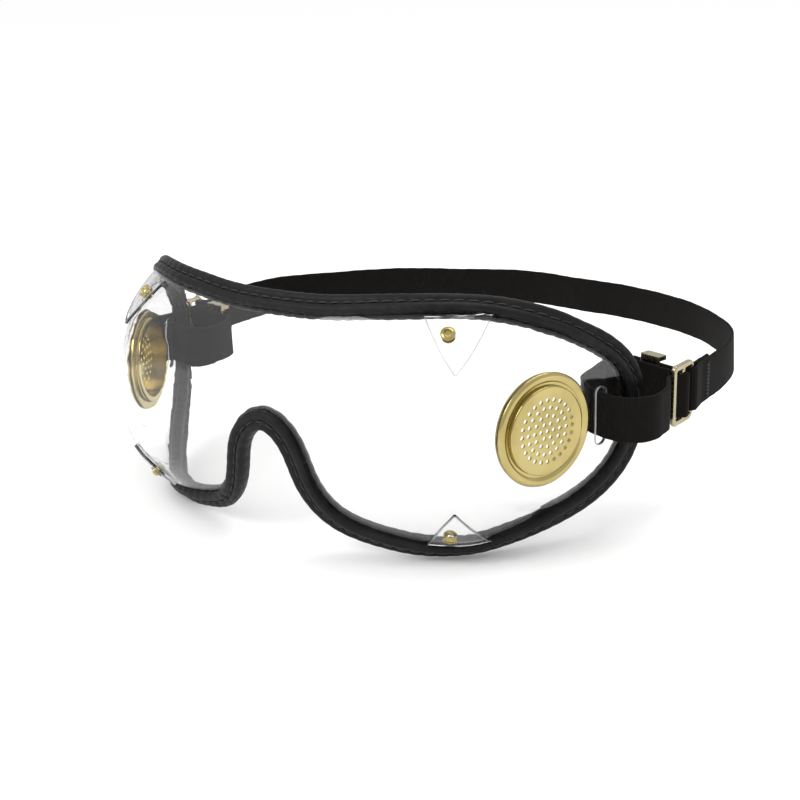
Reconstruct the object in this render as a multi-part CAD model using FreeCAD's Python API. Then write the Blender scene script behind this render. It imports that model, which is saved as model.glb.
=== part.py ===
import FreeCAD, Part
import math
import os
from BOPTools import SplitAPI

# Jockey goggles: a bent clear sheet in a stitched leather binding, with brass vents and an elastic band.
# Millimetres. X runs to the wearer's left, Y from the front of the lens to the back of the head, Z up.
# The origin lies midway between the two vents.

# Clear sheet
SHEET_THICKNESS = 1.0
SHEET_HALF = SHEET_THICKNESS / 2.0

# Plan curve of the sheet at its waist: a wide front arc, a tight corner arc and a straight side
WAIST_HEIGHT = -0.9
WAIST_FRONT_Y = -31.1
WAIST_FRONT_RADIUS = 450.0
WAIST_FRONT_DEGREES = 6.8
WAIST_CORNER_RADIUS = 9.0
WAIST_SIDE_DEGREES = 67.3
WAIST_SIDE_LENGTH = 62.0

# Plan curve of the sheet at its rim, where the darts have drawn it in
RIM_RISE = 35.0
RIM_DEGREES = 71.1
RIM_FRONT_Y = -18.2
RIM_FRONT_RADIUS = 264.0
RIM_FRONT_DEGREES = 7.1
RIM_CORNER_RADIUS = 29.0
RIM_SIDE_DEGREES = 57.0
RIM_SIDE_LENGTH = 62.0

# Each upright section of the sheet is an arc of an ellipse that meets the rim at the rim angle
RIM_PHI = math.radians(RIM_DEGREES)
BULGE_HALF_HEIGHT = RIM_RISE / math.sin(RIM_PHI)

# Half of the binding's centre line, from brow to nose arch: distance round the waist and degrees up
OUTLINE = [
    (0.0, 62.1), (16.0, 63.1), (36.3, 68.8), (56.1, 68.0), (79.5, 54.4), (102.0, 36.1),
    (118.0, 13.0), (118.0, -12.0), (102.7, -36.3), (81.4, -51.1), (62.4, -61.1), (46.6, -62.4),
    (32.7, -56.6), (19.1, -44.4), (11.8, -23.4), (7.2, -4.0), (0.0, 2.8),
]
RIM_STATIONS = 144
SHEET_ROWS = 96
SHEET_COLUMNS = 34
SHEET_PHI = 1.42

# Binding: leather folded round the sheet's edge, over a foam strip on the face side
SHEET_EDGE_IN_BINDING = 1.6
BINDING_FRONT_WIDTH = 2.9
BINDING_BACK_WIDTH = 3.9
BINDING_OUTER_REACH = 3.0
BINDING_FRONT_HEIGHT = 2.45
BINDING_BACK_DEPTH = 3.3
BINDING_GROOVE_DEPTH = 0.75
SEAT_GAP = 0.06
THREAD_WIDTH = 0.5
THREAD_HEIGHT = 0.3
THREAD_LIFT = 0.35
BINDING_LIP = 0.7
FOAM_DEPTH = 2.1
FOAM_GAP = 0.1

# Darts: a doubled flap of sheet above and below, on each side, each held by one rivet
UPPER_DART = {
    "apex": (57.2, 32.0), "inner": (45.6, 60.2), "middle": (61.4, 43.1), "outer": (65.1, 59.6),
    "rivet": (53.5, 50.4),
}
LOWER_DART = {
    "apex": (56.6, -28.4), "inner": (46.0, -52.9), "middle": (60.2, -39.4), "outer": (64.0, -54.4),
    "rivet": (53.5, -45.5),
}
DARTS = [UPPER_DART, LOWER_DART]
DART_APEX_WIDTH = 0.6
FLAP_THICKNESS = 0.8
FLAP_ROOT = 0.2
FLAP_TOP = SHEET_HALF + FLAP_THICKNESS
FLAP_TO_BINDING = 0.3
RIVET_SHANK_RADIUS = 1.0
RIVET_HEAD_RADIUS = 2.0
RIVET_HEAD_HEIGHT = 0.9
RIVET_DIMPLE_RADIUS = 0.8
RIVET_DIMPLE_DEPTH = 0.3
RIVET_TAIL_RADIUS = 1.35
RIVET_TAIL_HEIGHT = 0.6
WASHER_RADIUS = 1.8
WASHER_THICKNESS = 0.5
FIT_GAP = 0.05

# Vents: a rolled front ring, a perforated cup through the sheet and a ring held on behind by the cup
VENT_PLACE = (86.4, 0.0)
VENT_RADIUS = 15.875
VENT_SEAT_GAP = 0.1
VENT_RIM_HEIGHT = 1.6
VENT_RIM_WIDTH = 2.7
VENT_GROOVE_FLOOR = 1.0
VENT_CLAMP_MARGIN = 1.0
VENT_CLAMP_BLEND = 10.0
CUP_RADIUS = 12.35
CUP_FIT = 0.06
COLLAR_INSIDE = CUP_RADIUS + CUP_FIT
CUP_WALL = 0.6
CUP_TOP = 2.2
CUP_EDGE_RADIUS = 0.5
HOLE_RADIUS = 0.63
HOLE_PITCH = 2.17
HOLE_RINGS = 4
BACK_RING_RADIUS = 15.4
BACK_RING_THICKNESS = 0.6
BACK_COLLAR_WIDTH = 1.1
BACK_COLLAR_RISE = 0.7
CUP_LIP_REACH = 0.7
CUP_LIP_THICKNESS = 0.4
VENT_HOLE_GAP = 0.15

# Elastic strap and the slots that it passes through
STRAP_WIDTH = 13.1
STRAP_THICKNESS = 1.3
STRAP_HEIGHT = -0.35
SLOT_PLACE = (107.0, -0.9)
SLOT_LENGTH = 16.6
SLOT_WIDTH = 3.5
STRAP_GAP = 0.06
LAYER_STEP = STRAP_THICKNESS + STRAP_GAP
HEADBAND_HEIGHT = STRAP_HEIGHT + 0.6

# Sliders: a flat three-bar frame where each loop meets the headband
SLIDER_FRONT_BAR = 4.6
SLIDER_REAR_BAR = 5.2
SLIDER_THICKNESS = 1.4
SLIDER_RAIL = 1.8
SLIDER_SIDE_GAP = 0.65
SLIDER_FRONT_CORNER = 1.6
SLIDER_REAR_CORNER = 2.8
SLIDER_WINDOW_CORNER = 0.3
SLIDER_LIFT = 0.45
SLIDER_BEVEL = 0.45
BAR_REACH = 0.8
SLIDER_INSIDE = STRAP_WIDTH / 2.0 + SLIDER_SIDE_GAP
WRAP_RADIUS = BAR_REACH + STRAP_GAP + STRAP_THICKNESS / 2.0

# Keepers: a small three-bar frame that slides along the doubled end of each loop
KEEPER_HALF_LENGTH = 3.0
KEEPER_BAR_RADIUS = 0.5
KEEPER_RAIL = 1.3
KEEPER_SIDE_GAP = 0.7
KEEPER_INSIDE = STRAP_WIDTH / 2.0 + KEEPER_SIDE_GAP
RUNNING_GAP = 0.15
KEEPER_STEP = STRAP_THICKNESS + 2.0 * (RUNNING_GAP + KEEPER_BAR_RADIUS)

# How each loop lies, as seen on the wearer's left: the slack elastic sits differently on the two sides
LEFT_EAR = {
    "name": "right", "sign": 1.0, "slider": (91.1, 43.5), "slider_degrees": -7.0, "fold_degrees": -2.0,
    "outer": (92.2, 31.0), "outer_radius": 5.0, "front_radius": 8.5,
    "run_degrees": 18.5, "keeper": 13.0, "tail": 20.5, "far_x": 66.2, "far_radius": 6.0,
    "inner": [(66.6, 28.5, 8.0)], "through": 4.5, "through_radius": 6.0,
}
RIGHT_EAR = {
    "name": "left", "sign": -1.0, "slider": (85.8, 39.5), "slider_degrees": 4.0, "fold_degrees": 4.0,
    "outer": (87.5, 29.0), "outer_radius": 4.0, "front_radius": 5.5,
    "run_degrees": -11.7, "keeper": 12.4, "tail": 17.5, "far_x": 64.0, "far_radius": 4.5,
    "inner": [(61.8, 26.0, 12.0), (62.2, 14.0, 5.5)], "through": 3.5, "through_radius": 4.0,
}
EARS = [LEFT_EAR, RIGHT_EAR]
LAYER_START = 4.0
TAIL_BEND_FROM = 1.5
TAIL_BEND_TO = 6.0
TAIL_BEND_RADIUS = 3.0

# Ends of the headband, folded round the rear bar of each slider and stitched
FOLD_JOIN = 5.3
FOLD_RADIUS = 3.0
FOLD_TAIL = 13.3
FOLD_END = 14.8
STITCH_BLOCK_AT = 9.3
STITCH_BLOCK_LENGTH = 2.4
STITCH_BLOCK_WIDTH = 10.5
STITCH_THICKNESS = 0.3

# Headband centre line in plan, from the right slider round the back to the left one
HEADBAND = [
    (92.4, 78.0), (88.8, 91.0), (79.8, 103.9), (67.9, 115.0), (55.5, 121.8), (42.4, 126.5), (31.1, 128.9),
    (18.0, 130.1), (5.0, 132.2), (-9.4, 131.2), (-24.9, 125.3), (-47.9, 116.1), (-60.5, 106.0),
    (-70.3, 95.7), (-79.3, 85.8), (-84.2, 72.5),
]
HEADBAND_STATIONS = 72
HEADBAND_LEAN_DEGREES = 13.0
LEAN_STARTS_Y = 75.0
LEAN_FULL_Y = 118.0


def vector(x, y, z=0.0):
    return FreeCAD.Vector(x, y, z)


# The bent sheet

def plan_curve(front_y, front_radius, front_degrees, corner_radius, side_degrees, side_length):
    """Three tangent stretches in plan, from the middle of the nose to the end of the side."""
    front_angle = math.radians(front_degrees)
    side_angle = math.radians(side_degrees)
    front_length = front_radius * front_angle
    corner_length = corner_radius * (side_angle - front_angle)
    front_centre = vector(0.0, front_y + front_radius)
    out = vector(math.sin(front_angle), -math.cos(front_angle))
    corner_centre = front_centre + out * (front_radius - corner_radius)
    side_out = vector(math.sin(side_angle), -math.cos(side_angle))
    side_start = corner_centre + side_out * corner_radius
    side_along = vector(math.cos(side_angle), math.sin(side_angle))
    total = front_length + corner_length + side_length

    def at(distance):
        if distance <= front_length:
            angle = distance / front_radius
            return front_centre + vector(math.sin(angle), -math.cos(angle)) * front_radius
        if distance <= front_length + corner_length:
            angle = front_angle + (distance - front_length) / corner_radius
            return corner_centre + vector(math.sin(angle), -math.cos(angle)) * corner_radius
        return side_start + side_along * (distance - front_length - corner_length)

    return at, total


waist_at, WAIST_LENGTH = plan_curve(
    WAIST_FRONT_Y, WAIST_FRONT_RADIUS, WAIST_FRONT_DEGREES,
    WAIST_CORNER_RADIUS, WAIST_SIDE_DEGREES, WAIST_SIDE_LENGTH)
rim_at, RIM_LENGTH = plan_curve(
    RIM_FRONT_Y, RIM_FRONT_RADIUS, RIM_FRONT_DEGREES,
    RIM_CORNER_RADIUS, RIM_SIDE_DEGREES, RIM_SIDE_LENGTH)


def phi_of(height):
    """Angle on the upright ellipse for a height."""
    return math.asin((height - WAIST_HEIGHT) / BULGE_HALF_HEIGHT)


def height_of(degrees):
    """Height on the upright ellipse for an angle."""
    return WAIST_HEIGHT + BULGE_HALF_HEIGHT * math.sin(math.radians(degrees))


def raised(place):
    """Distance and height for a place given as distance and degrees."""
    return place[0], height_of(place[1])


def clamped(along, height):
    """How far the vent's rings press the sheet flat: 1 under them, falling to 0 further out."""
    out = math.hypot(abs(along) - VENT_PLACE[0], height - VENT_PLACE[1])
    share = (out - VENT_RADIUS - VENT_CLAMP_MARGIN) / VENT_CLAMP_BLEND
    share = max(0.0, min(1.0, share))
    return 1.0 - share * share * (3.0 - 2.0 * share)


def sheet_point(along, phi):
    """Middle of the sheet at a distance round the waist and an angle up the ellipse."""
    fraction = abs(along) / WAIST_LENGTH
    waist = waist_at(fraction * WAIST_LENGTH)
    rim = rim_at(fraction * RIM_LENGTH)
    height = WAIST_HEIGHT + BULGE_HALF_HEIGHT * math.sin(phi)
    share = (1.0 - math.cos(phi)) / (1.0 - math.cos(RIM_PHI))
    place = waist + (rim - waist) * (share * (1.0 - clamped(along, height)))
    side = 1.0 if along >= 0.0 else -1.0
    return vector(side * place.x, place.y, height)


SMALL_STEP = 0.01


def sheet_frame(along, phi):
    """Point, the two surface directions per unit of along and phi, and the outward normal."""
    point = sheet_point(along, phi)
    ahead = sheet_point(along + SMALL_STEP, phi)
    by_along = (ahead - sheet_point(along - SMALL_STEP, phi)) / (2 * SMALL_STEP)
    tilt = SMALL_STEP / BULGE_HALF_HEIGHT
    by_phi = (sheet_point(along, phi + tilt) - sheet_point(along, phi - tilt)) / (2 * tilt)
    normal = by_along.cross(by_phi).normalize()
    return point, by_along, by_phi, normal


def off_sheet(along, phi, rise):
    """Point at a height over the middle of the sheet."""
    point, by_along, by_phi, normal = sheet_frame(along, phi)
    return point + normal * rise


def grid_surface(pattern, rise, rows, columns):
    """Smooth surface over a pattern, a function of two fractions that gives along and phi."""
    points = []
    for i in range(rows + 1):
        row = []
        for j in range(columns + 1):
            along, phi = pattern(i / rows, j / columns)
            row.append(off_sheet(along, phi, rise))
        points.append(row)
    surface = Part.BSplineSurface()
    surface.interpolate(points)
    return surface


def sewn_solid(faces):
    """Closed solid from faces that share their edges."""
    skin = Part.makeCompound(faces)
    skin.sewShape()
    solid = Part.Solid(Part.Shell(skin.Faces))
    if solid.Volume < 0:
        solid.reverse()
    return solid


def layer(pattern, low, high, rows, columns):
    """Solid between two heights over the sheet, above a four-sided pattern."""
    below = grid_surface(pattern, low, rows, columns)
    above = grid_surface(pattern, high, rows, columns)
    faces = [below.toShape(), above.toShape()]
    for name in ("u0", "u1", "v0", "v1"):
        edges = []
        for surface in (below, above):
            u0, u1, v0, v1 = surface.bounds()
            if name[0] == "u":
                curve = surface.uIso(u0 if name == "u0" else u1)
            else:
                curve = surface.vIso(v0 if name == "v0" else v1)
            edges.append(curve.toShape())
        faces.append(Part.makeRuledSurface(edges[0], edges[1]))
    return sewn_solid(faces)


def local_frame(place, side):
    """Placement whose Z is the outward normal and whose Y leans up the sheet."""
    along, height = place
    point, by_along, by_phi, normal = sheet_frame(side * along, phi_of(height))
    up = by_phi.normalize()
    across = up.cross(normal)
    return FreeCAD.Placement(point, FreeCAD.Rotation(across, up, normal, "ZXY"))


def placed(shape, frame):
    moved = shape.copy()
    moved.Placement = frame
    return moved


# The rim and everything that follows it

def closed_outline():
    """Closed smooth curve in the flat pattern, clockwise as the front is seen."""
    right = [vector(a, height_of(degrees)) for a, degrees in OUTLINE]
    left = [vector(-spot.x, spot.y) for spot in reversed(right[1:-1])]
    curve = Part.BSplineCurve()
    curve.interpolate(Points=right + left, PeriodicFlag=True)
    return curve


WALK_STEP = 0.5


class RimStation:
    """One place on the binding's centre line, with a walk across the sheet at right angles to it."""

    def __init__(self, curve, parameter):
        spot = curve.value(parameter)
        run = curve.tangent(parameter)[0]
        self.along = spot.x
        self.phi = phi_of(spot.y)
        point, by_along, by_phi, normal = sheet_frame(self.along, self.phi)
        phi_rate = 1.0 / (BULGE_HALF_HEIGHT * math.cos(self.phi))
        self.tangent = (by_along * run.x + by_phi * (run.y * phi_rate)).normalize()

    def point(self, across, rise):
        """Point at a walked distance outwards from the centre line and a height over the sheet."""
        along = self.along
        phi = self.phi
        steps = max(1, int(math.ceil(abs(across) / WALK_STEP)))
        step = across / steps
        for k in range(steps):
            point, by_along, by_phi, normal = sheet_frame(along, phi)
            out = normal.cross(self.tangent).normalize()
            aa = by_along.dot(by_along)
            ab = by_along.dot(by_phi)
            bb = by_phi.dot(by_phi)
            oa = out.dot(by_along)
            ob = out.dot(by_phi)
            spread = aa * bb - ab * ab
            along += step * (oa * bb - ob * ab) / spread
            phi += step * (ob * aa - oa * ab) / spread
        return off_sheet(along, phi, rise)


def rim_stations():
    curve = closed_outline()
    first = curve.FirstParameter
    span = curve.LastParameter - first
    return [RimStation(curve, first + span * i / RIM_STATIONS) for i in range(RIM_STATIONS)]


STATIONS = rim_stations()


def rim_edge(across, rise):
    """Closed curve that follows the rim at an offset across and over the sheet."""
    curve = Part.BSplineCurve()
    curve.interpolate(Points=[s.point(across, rise) for s in STATIONS], PeriodicFlag=True)
    return curve.toShape()


def rim_ring(section):
    """Closed ring solid whose section is a polygon of offsets across and over the sheet."""
    edges = [rim_edge(across, rise) for across, rise in section]
    faces = []
    for i in range(len(edges)):
        faces.append(Part.makeRuledSurface(edges[i], edges[(i + 1) % len(edges)]))
    return sewn_solid(faces)


def rim_ribbon(across, reach):
    """Band that stands through the sheet along the rim, to cut it with."""
    return Part.makeRuledSurface(rim_edge(across, -reach), rim_edge(across, reach))


def trimmed(shape, across, reach):
    """What a rim ribbon leaves on its inner side: the largest piece."""
    pieces = SplitAPI.slice(shape, [rim_ribbon(across, reach)], "Split", 1e-4).Solids
    return max(pieces, key=lambda piece: piece.Volume)


# Round parts on the sheet

def turned(profile):
    """Solid of revolution about Z from corners of radius and height; a third value bows the next run."""
    edges = []
    for i, corner in enumerate(profile):
        there = profile[(i + 1) % len(profile)]
        a = vector(corner[0], 0, corner[1])
        b = vector(there[0], 0, there[1])
        if len(corner) == 3:
            across = (b - a).cross(vector(0, 1, 0)).normalize()
            edges.append(Part.Arc(a, (a + b) / 2.0 + across * corner[2], b).toShape())
        else:
            edges.append(Part.makeLine(a, b))
    face = Part.Face(Part.Wire(edges))
    return face.revolve(vector(0, 0, 0), vector(0, 0, 1), 360)


def rounded_bar(length, width, depth):
    """Round-ended bar about the origin, long along Y, with its depth along Z."""
    half = length / 2.0 - width / 2.0
    bar = Part.makeBox(width, 2.0 * half, depth, vector(-width / 2.0, -half, -depth / 2.0))
    for end in (-half, half):
        bar = bar.fuse(Part.makeCylinder(width / 2.0, depth, vector(0, end, -depth / 2.0)))
    return bar.removeSplitter()


# Strap bands in plan

def turned_by(heading, side):
    """Plan vector square to a heading, to the left for a side of 1 and to the right for -1."""
    return vector(-heading.y, heading.x) * side


def path_runs(path):
    """Start, heading and end of each straight run of a plan path.

    A path is a list of plan points with a radius and a turn. A turn of 1 or -1 wraps the strap round a
    bar at the point, to the left or the right; a turn of 0 is a corner rounded to the radius.
    """
    runs = []
    for (a, ra, ta), (b, rb, tb) in zip(path, path[1:]):
        between = b - a
        lean = math.asin((tb * rb - ta * ra) / between.Length)
        angle = math.atan2(between.y, between.x) - lean
        heading = vector(math.cos(angle), math.sin(angle))
        start = a - turned_by(heading, ta * ra)
        end = b - turned_by(heading, tb * rb)
        runs.append([start, heading, end])
    return runs


def path_edges(path, offset):
    """Edges of a plan path moved to its left by an offset, with its two ends."""
    runs = path_runs(path)
    edges = []
    here = runs[0][0] + turned_by(runs[0][1], offset)
    first = here
    for i in range(1, len(path) - 1):
        point, radius, turn = path[i]
        h1 = runs[i - 1][1]
        h2 = runs[i][1]
        bend = math.atan2(h1.x * h2.y - h1.y * h2.x, h1.dot(h2))
        if turn == 0:
            turn = 1 if bend > 0 else -1
            start = point - h1 * (radius * math.tan(abs(bend) / 2.0))
            centre = start + turned_by(h1, turn * radius)
        else:
            centre = point
            if bend * turn < 0:
                bend += turn * 2.0 * math.pi
        size = radius - turn * offset
        angle = math.atan2(h1.y, h1.x) - turn * math.pi / 2.0
        stops = []
        for share in (0.0, 0.5, 1.0):
            a = angle + bend * share
            stops.append(centre + vector(math.cos(a), math.sin(a)) * size)
        edges.append(Part.makeLine(here, stops[0]))
        edges.append(Part.Arc(*stops).toShape())
        here = stops[2]
    last = runs[-1][2] + turned_by(runs[-1][1], offset)
    edges.append(Part.makeLine(here, last))
    return edges, first, last


def band(path, thickness, width, height):
    """Upright band along a plan path, centred on a height."""
    left, left_start, left_end = path_edges(path, thickness / 2.0)
    right, right_start, right_end = path_edges(path, -thickness / 2.0)
    edges = left + [Part.makeLine(left_end, right_end)] + right + [Part.makeLine(right_start, left_start)]
    face = Part.Face(Part.Wire(Part.__sortEdges__(edges)))
    face.translate(vector(0, 0, height - width / 2.0))
    return face.extrude(vector(0, 0, width))


def on_side(shape, ear):
    """Shape built for the wearer's left, turned over for the other side where needed."""
    if ear["sign"] > 0:
        return shape
    return shape.mirror(vector(0, 0, 0), vector(1, 0, 0))


class EarLayout:
    """Where one loop's bars and runs lie in plan."""

    def __init__(self, ear):
        angle = math.radians(ear["slider_degrees"])
        self.bar = vector(*ear["slider"])
        self.back = vector(-math.sin(angle), math.cos(angle))
        self.outward = vector(math.cos(angle), math.sin(angle))
        self.rear_bar = self.at_slider(0.0, SLIDER_REAR_BAR)
        angle = math.radians(ear["fold_degrees"])
        self.fold_back = vector(-math.sin(angle), math.cos(angle))
        self.fold_out = vector(math.cos(angle), math.sin(angle))
        angle = math.radians(ear["run_degrees"])
        self.run = vector(-math.cos(angle), math.sin(angle))
        self.rear = vector(math.sin(angle), math.cos(angle))
        self.tail_line = self.bar + self.rear * WRAP_RADIUS
        self.front_line = self.tail_line - self.rear * LAYER_STEP
        self.tail_back = self.front_line + self.rear * KEEPER_STEP
        self.keeper = self.tail_back + self.run * ear["keeper"]

    def at_slider(self, outward, back):
        return self.bar + self.outward * outward + self.back * back

    def at_fold(self, outward, back):
        return self.rear_bar + self.fold_out * outward + self.fold_back * back

    def slider_frame(self):
        """Placement whose X is outward and whose Y runs back along the strap."""
        lift = vector(0, 0, STRAP_HEIGHT + SLIDER_LIFT)
        turn = FreeCAD.Rotation(self.outward, self.back, vector(0, 0, 1), "ZXY")
        return FreeCAD.Placement(self.bar + lift, turn)

    def fold_frame(self):
        """Placement at the rear bar whose Y runs back along the folded end of the headband."""
        lift = vector(0, 0, HEADBAND_HEIGHT)
        turn = FreeCAD.Rotation(self.fold_out, self.fold_back, vector(0, 0, 1), "ZXY")
        return FreeCAD.Placement(self.rear_bar + lift, turn)

    def keeper_frame(self):
        """Placement whose Y runs along the doubled strap and whose X points forward."""
        lift = vector(0, 0, STRAP_HEIGHT)
        turn = FreeCAD.Rotation(self.rear, self.run, vector(0, 0, 1), "ZXY")
        return FreeCAD.Placement(self.keeper + lift, turn)


def loop_path(ear):
    """Plan path of one loop, from its end by the slider, through the slot and back to its free tail."""
    lay = EarLayout(ear)
    slot, by_along, by_phi, normal = sheet_frame(SLOT_PLACE[0], phi_of(SLOT_PLACE[1]))
    slot = vector(slot.x, slot.y)
    normal = vector(normal.x, normal.y).normalize()
    outer = vector(*ear["outer"])
    far = lay.front_line + lay.run * ((ear["far_x"] - lay.front_line.x) / lay.run.x)
    path = [(lay.front_line + lay.run * LAYER_START, 0.0, 0), (far, ear["far_radius"], 0)]
    for x, y, radius in ear["inner"]:
        path.append((vector(x, y), radius, 0))
    path.append((slot - normal * ear["through"], ear["through_radius"], 0))
    path.append((slot + normal * ((outer.x - slot.x) / normal.x), ear["front_radius"], 0))
    path.append((outer, ear["outer_radius"], 0))
    path.append((lay.at_slider(0.0, -SLIDER_FRONT_BAR), WRAP_RADIUS, -1))
    path.append((lay.bar, WRAP_RADIUS, 1))
    path.append((lay.tail_line + lay.run * TAIL_BEND_FROM, TAIL_BEND_RADIUS, 0))
    path.append((lay.tail_back + lay.run * TAIL_BEND_TO, TAIL_BEND_RADIUS, 0))
    path.append((lay.tail_back + lay.run * ear["tail"], 0.0, 0))
    return path


def fold_path(ear):
    """Plan path of one folded end of the headband, from its tail round the slider's rear bar."""
    lay = EarLayout(ear)
    half_step = LAYER_STEP / 2.0
    return [
        (lay.at_fold(-half_step, FOLD_TAIL), 0.0, 0),
        (lay.at_fold(-half_step, FOLD_JOIN), FOLD_RADIUS, 0),
        (lay.rear_bar, WRAP_RADIUS, 1),
        (lay.at_fold(half_step, FOLD_JOIN), FOLD_RADIUS, 0),
        (lay.at_fold(half_step, FOLD_END), 0.0, 0),
    ]


def slider_body():
    """Three-bar frame, with X outward and Y along the strap."""
    front = -SLIDER_FRONT_BAR - SLIDER_THICKNESS / 2.0
    rear = SLIDER_REAR_BAR + SLIDER_THICKNESS / 2.0
    half = SLIDER_INSIDE + SLIDER_RAIL
    side = -SLIDER_THICKNESS / 2.0
    frame = Part.makeBox(SLIDER_THICKNESS, rear - front, 2.0 * half, vector(side, front, -half))
    for end, radius in ((front, SLIDER_FRONT_CORNER), (rear, SLIDER_REAR_CORNER)):
        corners = []
        for edge in frame.Edges:
            centre = edge.CenterOfMass
            if abs(centre.x) < 0.01 and abs(centre.z) > half - 0.01 and abs(centre.y - end) < 0.01:
                corners.append(edge)
        frame = frame.makeFillet(radius, corners)
    centre_bar = SLIDER_THICKNESS / 2.0
    for low, high in (
        (front + SLIDER_THICKNESS, -centre_bar),
        (centre_bar, rear - SLIDER_THICKNESS),
    ):
        window = Part.makeBox(
            SLIDER_THICKNESS * 3.0, high - low, 2.0 * SLIDER_INSIDE,
            vector(-SLIDER_THICKNESS * 1.5, low, -SLIDER_INSIDE))
        through = [edge for edge in window.Edges if edge.BoundBox.XLength > SLIDER_THICKNESS]
        frame = frame.cut(window.makeFillet(SLIDER_WINDOW_CORNER, through))
    sharp = []
    for edge in frame.Edges:
        box = edge.BoundBox
        face_side = abs(abs(box.Center.x) - SLIDER_THICKNESS / 2.0) < 0.01
        if face_side and box.XLength < 0.01:
            sharp.append(edge)
    return frame.makeFillet(SLIDER_BEVEL, sharp)


def keeper_body():
    """Three-bar frame: end bars between the two layers of strap and a middle bar behind the tail."""
    aside = KEEPER_STEP / 2.0
    depth = aside + KEEPER_BAR_RADIUS
    reach = KEEPER_HALF_LENGTH + KEEPER_BAR_RADIUS
    height = 2.0 * (KEEPER_INSIDE + KEEPER_RAIL)
    body = None
    for low in (-KEEPER_INSIDE - KEEPER_RAIL, KEEPER_INSIDE):
        rail = Part.makeBox(2.0 * depth, 2.0 * reach, KEEPER_RAIL, vector(-depth, -reach, low))
        upright = [edge for edge in rail.Edges if edge.BoundBox.ZLength > KEEPER_RAIL / 2.0]
        rail = rail.makeFillet(KEEPER_BAR_RADIUS * 0.99, upright)
        body = rail if body is None else body.fuse(rail)
    for x, y in ((-aside, -KEEPER_HALF_LENGTH), (aside, 0.0), (-aside, KEEPER_HALF_LENGTH)):
        body = body.fuse(Part.makeCylinder(KEEPER_BAR_RADIUS, height, vector(x, y, -height / 2.0)))
    return body.removeSplitter()


def stitch_blocks(ear):
    """Two patches of stitching, one on each face of the folded end."""
    lay = EarLayout(ear)
    face = LAYER_STEP / 2.0 + STRAP_THICKNESS / 2.0 + FIT_GAP
    blocks = []
    for start in (face, -face - STITCH_THICKNESS):
        block = Part.makeBox(
            STITCH_THICKNESS, STITCH_BLOCK_LENGTH, STITCH_BLOCK_WIDTH,
            vector(start, STITCH_BLOCK_AT - STITCH_BLOCK_LENGTH / 2.0, -STITCH_BLOCK_WIDTH / 2.0))
        blocks.append(placed(block, lay.fold_frame()))
    return blocks


def headband_middle():
    """The long single layer between the two folds, upright at the ears and leaning in at the back."""
    ends = []
    for ear in EARS:
        lay = EarLayout(ear)
        start = lay.at_fold(LAYER_STEP / 2.0, FOLD_END)
        heading = vector(ear["sign"] * lay.fold_back.x, lay.fold_back.y)
        ends.append((vector(ear["sign"] * start.x, start.y), heading))
    (start, start_heading), (end, end_heading) = ends
    points = [start] + [vector(x, y) for x, y in HEADBAND] + [end]
    curve = Part.BSplineCurve()
    curve.interpolate(Points=points, InitialTangent=start_heading, FinalTangent=end_heading * -1.0)
    rails = {}
    for across in (-0.5, 0.5):
        for up in (-0.5, 0.5):
            rails[(across, up)] = []
    span = curve.LastParameter - curve.FirstParameter
    for i in range(HEADBAND_STATIONS + 1):
        parameter = curve.FirstParameter + span * i / HEADBAND_STATIONS
        spot = curve.value(parameter)
        heading = curve.tangent(parameter)[0]
        outward = turned_by(heading, -1)
        share = max(0.0, min(1.0, (spot.y - LEAN_STARTS_Y) / (LEAN_FULL_Y - LEAN_STARTS_Y)))
        lean = math.radians(HEADBAND_LEAN_DEGREES) * share * share * (3.0 - 2.0 * share)
        thick = outward * math.cos(lean) + vector(0, 0, math.sin(lean))
        wide = vector(0, 0, math.cos(lean)) - outward * math.sin(lean)
        centre = vector(spot.x, spot.y, HEADBAND_HEIGHT)
        for (across, up), rail in rails.items():
            rail.append(centre + thick * (across * STRAP_THICKNESS) + wide * (up * STRAP_WIDTH))
    ring = [(-0.5, -0.5), (0.5, -0.5), (0.5, 0.5), (-0.5, 0.5)]
    edges = []
    for key in ring:
        rail_curve = Part.BSplineCurve()
        rail_curve.interpolate(
            Points=rails[key], InitialTangent=start_heading, FinalTangent=end_heading * -1.0)
        edges.append(rail_curve.toShape())
    faces = []
    for i in range(len(ring)):
        faces.append(Part.makeRuledSurface(edges[i], edges[(i + 1) % len(ring)]))
    for end_index in (0, -1):
        corners = [rails[key][end_index] for key in ring]
        faces.append(Part.Face(Part.makePolygon(corners + [corners[0]])))
    return sewn_solid(faces)


# Sheet with its darts, holes and slots

def whole_sheet(low, high):
    """Untrimmed sheet between two heights, a little larger than the outline."""
    reach = WAIST_LENGTH * 0.995

    def pattern(a, b):
        return (2.0 * a - 1.0) * reach, (2.0 * b - 1.0) * SHEET_PHI

    return layer(pattern, low, high, SHEET_ROWS, SHEET_COLUMNS)


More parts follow.
